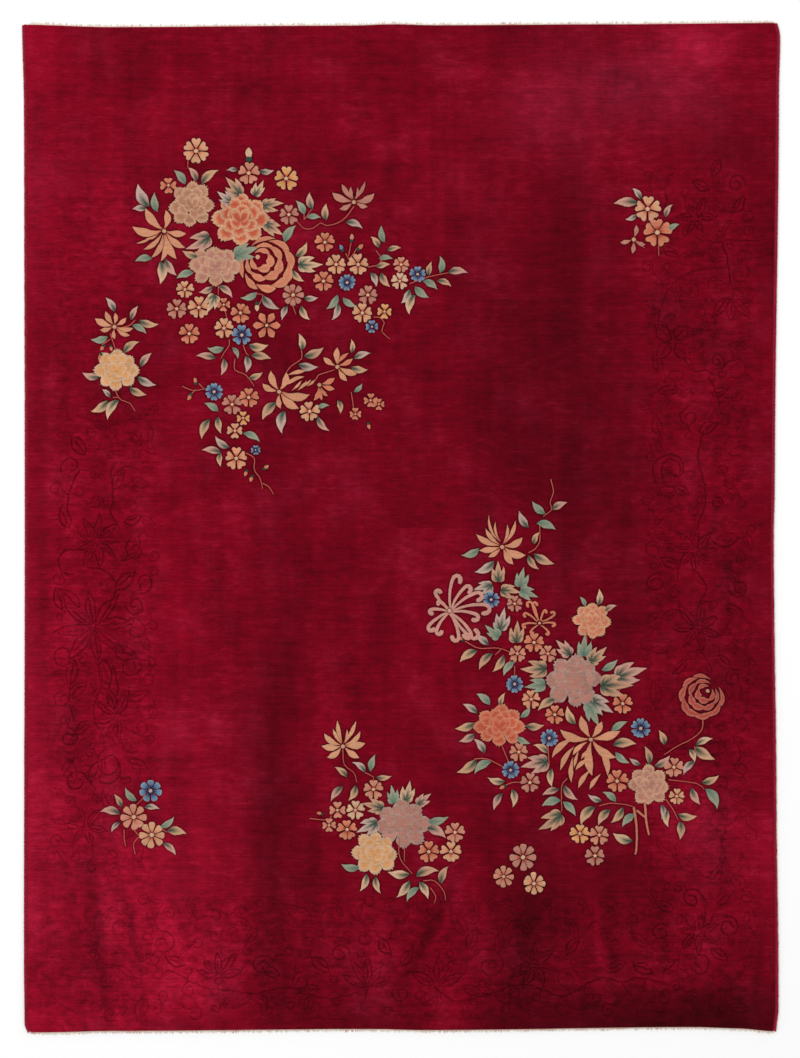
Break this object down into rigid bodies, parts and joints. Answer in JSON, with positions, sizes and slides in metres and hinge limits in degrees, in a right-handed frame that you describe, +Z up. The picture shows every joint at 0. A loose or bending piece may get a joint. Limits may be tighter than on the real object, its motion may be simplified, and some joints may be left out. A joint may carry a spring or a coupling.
{
  "type": "chinese art deco rug",
  "caption": "Large hand-knotted wool rug, crimson ground with carved tone-on-tone border and scattered flower sprays, lying flat.",
  "frame": {"origin": "under the middle of the rug, on the surface it lies on", "axes": "+Y along the rug's length towards its top end, +X across it to the right, +Z up out of the pile"},
  "size_m": [2.742, 3.661, 0.012],
  "materials": {
    "pile_wool": "clipped wool pile with a soft velvety sheen, flower sprays knotted in other colours",
    "selvedge_wool": "wool yarn overcast side by side round the outer warps, matt",
    "warp_cotton": "undyed cotton web and warp ends, matt, a little soiled with red"
  },
  "bodies": {
    "root": {"pile_rug": "pile_wool", "selvedge_left": "selvedge_wool", "selvedge_right": "selvedge_wool", "warp_ends_top": "warp_cotton", "warp_ends_bottom": "warp_cotton"}
  },
  "joints": []
}
